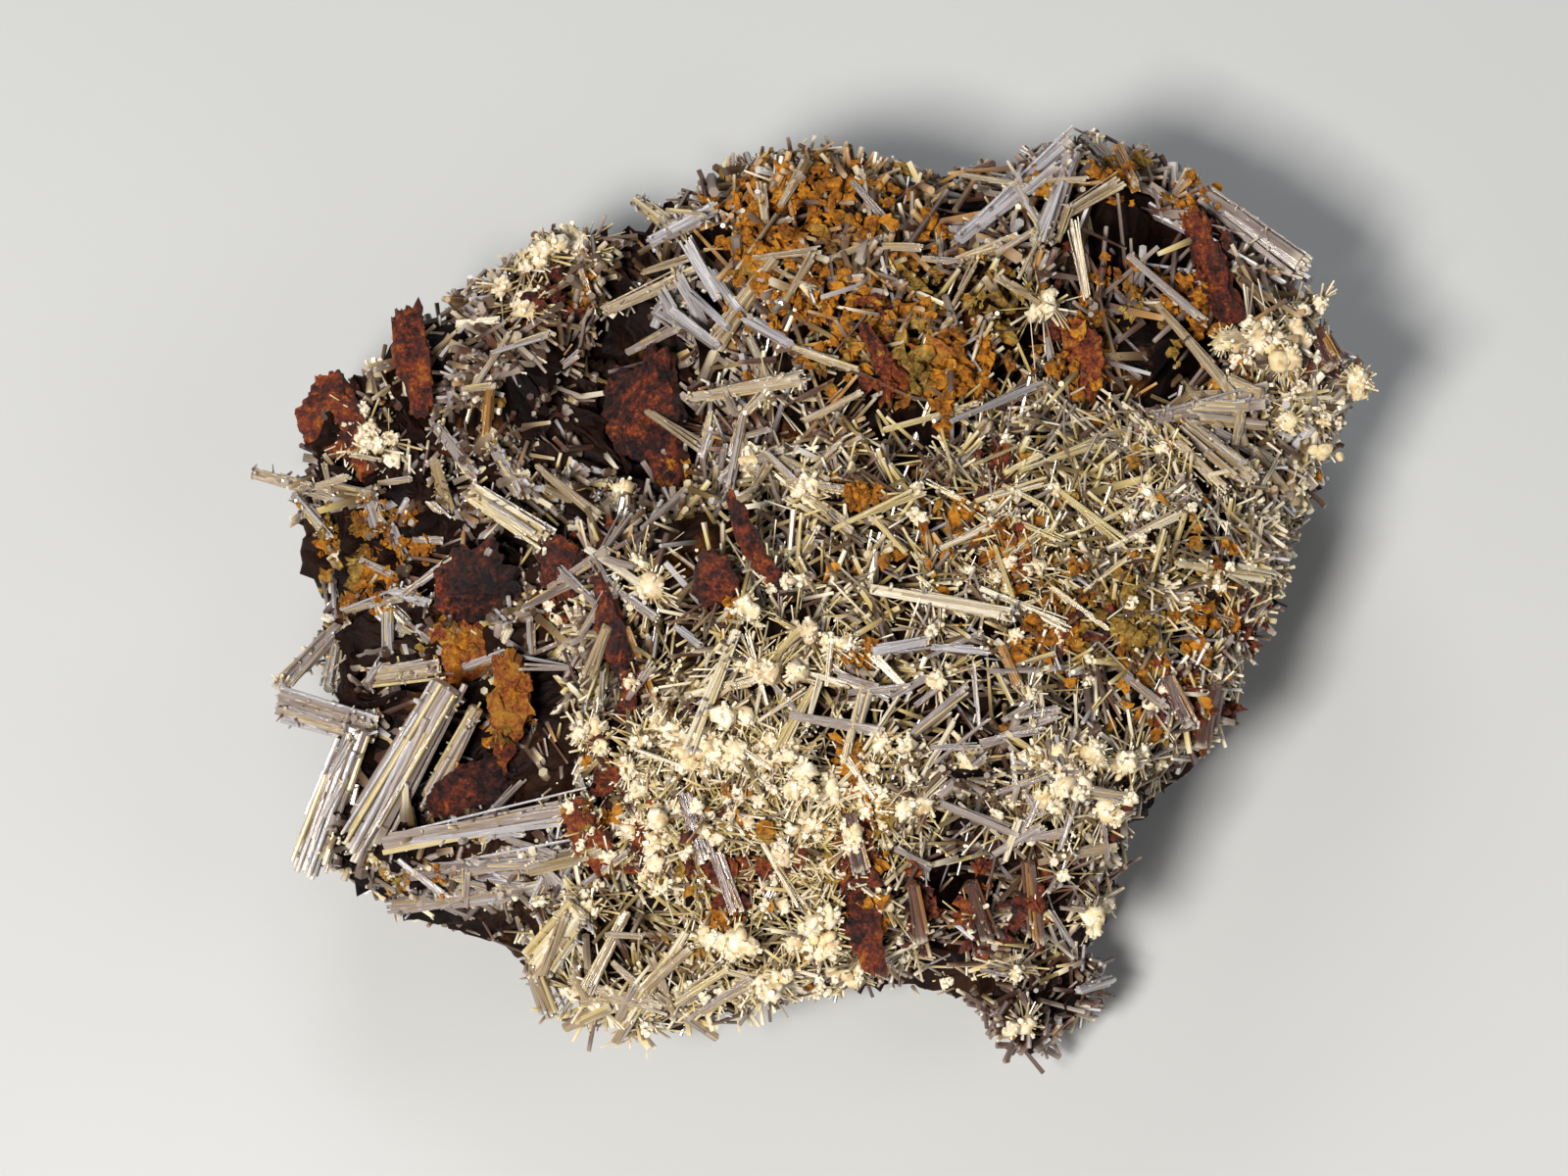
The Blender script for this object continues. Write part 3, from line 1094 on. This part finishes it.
def stamped(name, templates, centres, normals, sizes, flatness, draw):
    """Copies of a few shapes, each turned, sized and set on its surface, joined in one mesh."""
    all_places, all_faces, start = [], [], 0
    for number, (centre, normal, size) in enumerate(zip(centres, normals, sizes)):
        places, faces = templates[number % len(templates)]
        spin = draw.random() * 2 * math.pi
        upright = Vector(normal).to_track_quat("Z", "Y").to_matrix()
        turn = np.array(upright @ Matrix.Rotation(spin, 3, "Z"))
        shaped = places * (size, size * draw.uniform(0.6, 1.0), size * flatness)
        all_places.append(shaped @ turn.T + centre)
        all_faces.append(faces + start)
        start += len(places)
    mesh = bpy.data.meshes.new(name)
    mesh.from_pydata(np.concatenate(all_places).tolist(), [], np.concatenate(all_faces).tolist())
    mesh.shade_smooth()
    return mesh


def scattered(places, tree, skins):
    """The points seen at pixels, without those too far from the skins to have anything to sit on."""
    hits = [seen(place, tree) for place in places]
    held = [(point, normal) for point, normal in hits if point and held_up(point, skins)]
    return [(np.array(point), np.array(normal)) for point, normal in held]


def held_up(point, skins):
    """Whether something at a point rests on rock, crust or a coarse crystal."""
    return skins.find_nearest(point)[3] < FARTHEST_FROM_SKIN


def place_heads(ground, skins, draw):
    """Centres, facings and sizes of the rounded cream heads."""
    places = list(HEADS)
    for middle, reach, count in HEAD_FIELDS:
        places += strewn(middle, reach, count, draw)
    lumps = []
    for number, (point, normal) in enumerate(scattered(places, ground, skins)):
        (fewest, most), sizes = BIG_HEAD if number < len(HEADS) else SMALL_HEAD
        for _ in range(draw.integers(fewest, most)):
            centre = point + draw.normal(0, 0.5, 3) * MM - normal * 0.45 * MM
            lumps.append((centre, normal, draw.uniform(*sizes) * MM))
    return [np.array(column) for column in zip(*lumps)]


def build_round_heads(material, ground, skins, draw):
    """The smooth round heads, in small groups."""
    lumps = []
    for point, normal in scattered(ROUND_HEADS, ground, skins):
        for number in range(draw.integers(1, 4)):
            size = draw.uniform(0.55, 1.0) * MM * (1 if number == 0 else 0.7)
            aside = draw.normal(0, 0.5, 3) * MM * min(number, 1)
            lumps.append((point + aside - normal * size * 0.2, normal, size))
    templates = [lump_template(number + 31, 12, 9, 0.28) for number in range(5)]
    mesh = stamped("round_heads", templates, *zip(*lumps), 0.95, draw)
    new_piece(mesh, material)


def build_powders(ochre, rust, crystals, ground, skins):
    """Grains of ochre and rust that cake the crystals and the crust in places."""
    draw = draws("grains")
    roots, ways, lengths = crystals[:3]
    spots = roots + ways * (lengths * draw.uniform(0.3, 0.95, len(lengths)))[:, None]
    pixels = pixel_of(spots)
    upper = np.clip((spots[:, 2] / MM - 6) / 8, 0.05, 1)
    grains = ([], [], [])
    for middle, reach, count in OCHRE_FIELDS + (EVERYWHERE,):
        near = nearness(pixels, middle, np.array(reach) * 0.8) * upper
        picked = draw.choice(len(spots), size=min(count * 13, 560), p=near / near.sum())
        grains[0].extend(spots[picked] + draw.normal(0, 0.12 * MM, (len(picked), 3)))
        grains[1].extend(ways[picked] + draw.normal(0, 0.5, (len(picked), 3)))
        grains[2].extend(draw.uniform(0.12, 0.36, len(picked)) * MM)
    crusts = crust_places(OCHRE_FIELDS, ground, skins, draws("ochre"))
    rusts = crust_places(RUST_FIELDS, ground, skins, draws("rust"))
    for name, columns, look, slot, segments, rings in (
        ("ochre_grains", grains, ochre, "ochre", 5, 3), ("ochre_crusts", crusts, ochre, "ochre", 7, 5),
        ("rust_crusts", rusts, rust, "iron_plate", 7, 5),
    ):
        templates = [lump_template(number + 11, segments, rings, 1.0) for number in range(9)]
        mesh = stamped(name, templates, *columns, 0.5, draws(name))
        mesh.shade_flat()
        new_piece(mesh, look)


def crust_places(fields, ground, skins, draw):
    """Centres, facings and sizes of the lumps that make up crusts just under the surface."""
    lumps = []
    for middle, reach, count in fields:
        for point, normal in scattered(strewn(middle, reach, count * 4, draw), ground, skins):
            centre = point - normal * draw.uniform(0.1, 1.4) * MM
            facing = normal + draw.normal(0, 0.6, 3)
            lumps.append((centre, facing, draw.uniform(0.30, 0.85) * MM))
    return zip(*lumps)


def split_faces(mesh, parts):
    """A solid's triangles, each split into parts times parts even ones."""
    triangles = triangles_of(mesh)
    grid = [(i, j) for i in range(parts + 1) for j in range(parts + 1 - i)]
    index = {spot: number for number, spot in enumerate(grid)}
    small = [(index[i, j], index[i + 1, j], index[i, j + 1]) for i, j in grid if i + j < parts]
    inner = [(i, j) for i, j in grid if i + j < parts - 1]
    small += [(index[i + 1, j], index[i + 1, j + 1], index[i, j + 1]) for i, j in inner]
    shares = np.array([(parts - i - j, i, j) for i, j in grid]) / parts
    points = np.einsum("gc,tcx->tgx", shares, triangles).reshape(-1, 3)
    faces = np.array(small)[None] + (np.arange(len(triangles)) * len(grid))[:, None, None]
    split = bpy.data.meshes.new("split")
    split.from_pydata(points.tolist(), [], faces.reshape(-1, 3).tolist())
    bm = bmesh.new()
    bm.from_mesh(split)
    bpy.data.meshes.remove(split)
    bmesh.ops.remove_doubles(bm, verts=bm.verts, dist=SAME_PLACE)
    bm.normal_update()
    return bm


def roughened(name, cuts, coarse, fine, seed, boxwork=0.0, floor=None):
    """A node's own solid with more faces, broken up by noise, to stand for the node."""
    bm = split_faces(NODES[name].data, cuts + 1)
    pushes = []
    for vertex in bm.verts:
        spot = noise_place(vertex.co, seed)
        push = noise.noise_vector(spot / LUMPS[0]) * coarse + noise.noise_vector(spot / LUMPS[1]) * fine
        if boxwork:
            near = noise.voronoi(spot / BOXWORK)[0]
            ridge = max(0.0, 1 - (near[1] - near[0]) * 5)
            push += vertex.normal * (ridge - 0.45) * boxwork
        pushes.append(push * MM)
    for vertex, push in zip(bm.verts, pushes):
        if floor is not None and vertex.co.z < 0.6 * MM:
            push = Vector((push.x, push.y, 0))
        vertex.co += push
        if floor is not None:
            vertex.co.z = max(floor, vertex.co.z)
    return bm


def shaped_as_sheet(bm, height, seed):
    """Pushes a plate's outer side up into a low dome and breaks up its outline."""
    places = np.array([vertex.co for vertex in bm.verts])
    middle = places.mean(axis=0)
    away = places - middle
    axes = np.linalg.eigh(away.T @ away)[1]
    axes = axes * np.sign(UNEVEN @ axes)
    facing = axes[:, 0] * (1 if axes[:, 0] @ np.array(FORWARD) < 0 else -1)
    rise = away @ facing
    flat = away - rise[:, None] * facing
    first = (away @ axes[:, 1]) / np.abs(away @ axes[:, 1]).max()
    second = (away @ axes[:, 2]) / np.abs(away @ axes[:, 2]).max()
    reach = np.hypot(first, second)
    for vertex, above, spread, ray, x, y in zip(bm.verts, rise, reach, flat, first, second):
        side = Vector((x, y, 0)).normalized() + Vector((0, 0, seed))
        teeth = sum(noise.noise(side * often) * deep for often, deep in RAGGED)
        vertex.co += Vector(ray) * min(1.0, spread**2) * (teeth - 0.04)
        if above > 0:
            vertex.co += Vector(facing) * height * MM * max(0.0, 1 - spread**2)


def build_plates():
    """A ragged sheet in place of each plate. Plates that rusted alike share a finish."""
    finishes = {}
    for number, (name, (rust, crumple)) in enumerate(PLATES.items()):
        if rust not in finishes:
            finishes[rust] = plate_finish(f"iron oxide {round(rust * 100)}", rust)
        bm = roughened(name, 12, crumple, crumple * 0.7, number + 1)
        shaped_as_sheet(bm, DOMES.get(name, 0.0), number + 1)
        mesh = mesh_from(f"{name}_sheet", bm)
        new_piece(mesh, finishes[rust], (name,))


def build_rock():
    """The ironstone, rough on all sides and flat where it rests."""
    bm = roughened("matrix", 8, 0.55, 0.35, 3, boxwork=1.1, floor=0.0)
    mesh = mesh_from("ironstone", bm)
    return new_piece(mesh, rock_finish("ironstone", 0.30, 0.15), ("matrix",))


def build_crusts(rock, solids):
    """Each crust: dark ground, and fine crystals that stand on it up to the solid's surface."""
    ground_finish = rock_finish("crust ground", 0.22, 0.10)
    parts = []
    skins = bmesh.new()
    for mesh in [rock.data] + [NODES[name].data for name in COARSE_NODES]:
        skins.from_mesh(mesh)
    for name, (subdivisions, inset, tries) in CRUSTS.items():
        bm = shell_of(name, subdivisions, inset, 5)
        mesh = mesh_from(f"{name}_ground", bm)
        new_piece(mesh, ground_finish, (name,))
        skins.from_mesh(mesh)
        parts.append(sprays(mesh, tries // 3, (5, 11), draws(f"{name} sprays"), solids))
        parts.append(straws(mesh, int(tries * 1.6), draws(f"{name} straws"), solids))
    tree = BVHTree.FromBMesh(skins)
    skins.free()
    return parts, tree


# Lamps that face the specimen: place and size in metres, power in watts and colour.
LAMPS = (
    ("key", (-0.16, -0.28, 0.46), 0.12, 3.9, (1.0, 0.98, 0.95)),
    ("fill", (0.42, -0.10, 0.30), 0.30, 0.5, (0.95, 0.97, 1.0)),
    ("back", (-0.10, 0.45, 0.32), 0.26, 1.0, (0.90, 0.95, 1.0)),
)
SKY = (0.92, 0.95, 1.0, 1)
SKY_STRENGTH = 0.055


def build_lights():
    world = bpy.data.worlds.new("studio")
    world.use_nodes = True
    background = world.node_tree.nodes["Background"]
    background.inputs["Color"].default_value = SKY
    background.inputs["Strength"].default_value = SKY_STRENGTH
    bpy.context.scene.world = world
    bpy.context.scene.view_settings.view_transform = "Standard"
    for name, place, size, power, colour in LAMPS:
        light = bpy.data.lights.new(name, "AREA")
        light.size = size
        light.energy = power
        light.color = colour
        lamp = placed(name, light)
        lamp.location = place
        lamp.rotation_euler = (VIEW_TARGET - Vector(place)).to_track_quat("-Z", "Y").to_euler()


def build_camera():
    data = bpy.data.cameras.new("camera")
    data.sensor_width = SENSOR
    data.lens = SENSOR * VIEW_DISTANCE / (FRAME_WIDTH * STEP)
    camera = placed("camera", data)
    camera.location = EYE
    camera.rotation_euler = FORWARD.to_track_quat("-Z", "Y").to_euler()
    bpy.context.scene.camera = camera


def build_floor():
    bm = bmesh.new()
    bmesh.ops.create_grid(bm, x_segments=4, y_segments=4, size=1.5)
    finish = Finish("floor", Roughness=0.75)
    shades = ((0.3, (0.54, 0.54, 0.53)), (0.7, (0.58, 0.58, 0.57)))
    finish.put("Base Color", finish.ramp(finish.grain(finish.place(), 6.0), shades))
    floor = placed("floor", mesh_from("floor", bm))
    floor.data.materials.append(finish.material)


def build():
    """Rock and crusts first, because what grows and lies on them is placed by their surface."""
    crystal = fine_crystal_finish()
    coarse = coarse_crystal_finish()
    ground = tree_of([name for name in NODES if name not in COARSE_NODES])
    rock = build_rock()
    solids = tree_of(list(NODES))
    parts, skins = build_crusts(rock, solids)
    parts.append(sprays(rock.data, 12000, (2, 6), draws("rock sprays"), solids, 0.4))
    parts.append(straws(rock.data, 4000, draws("rock straws"), solids))
    parts += build_coarse(coarse, ground)
    heads = place_heads(ground, skins, draws("heads"))
    parts.append(tufts(*heads, draws("tufts")))
    parts.append(bursts(heads[0], heads[1], draws("bursts"), solids))
    crystals = fine_crystals("fine_crystals", parts, crystal, draws("tapers"))
    lumps = [lump_template(number, 9, 6, 0.7) for number in range(7)]
    cores = stamped("cream_heads", lumps, *heads, 0.85, draws("cores"))
    new_piece(cores, cream_finish("cream heads", (0.93, 0.84, 0.66)))
    yellow = cream_finish("yellow heads", (0.82, 0.66, 0.36))
    build_round_heads(yellow, ground, skins, draws("round heads"))
    build_loose(coarse, solids, skins, draws("loose"))
    build_plates()
    build_powders(ochre_finish(), plate_finish("rust", 0.42), crystals, ground, skins)
    build_floor()
    build_lights()
    build_camera()


build()
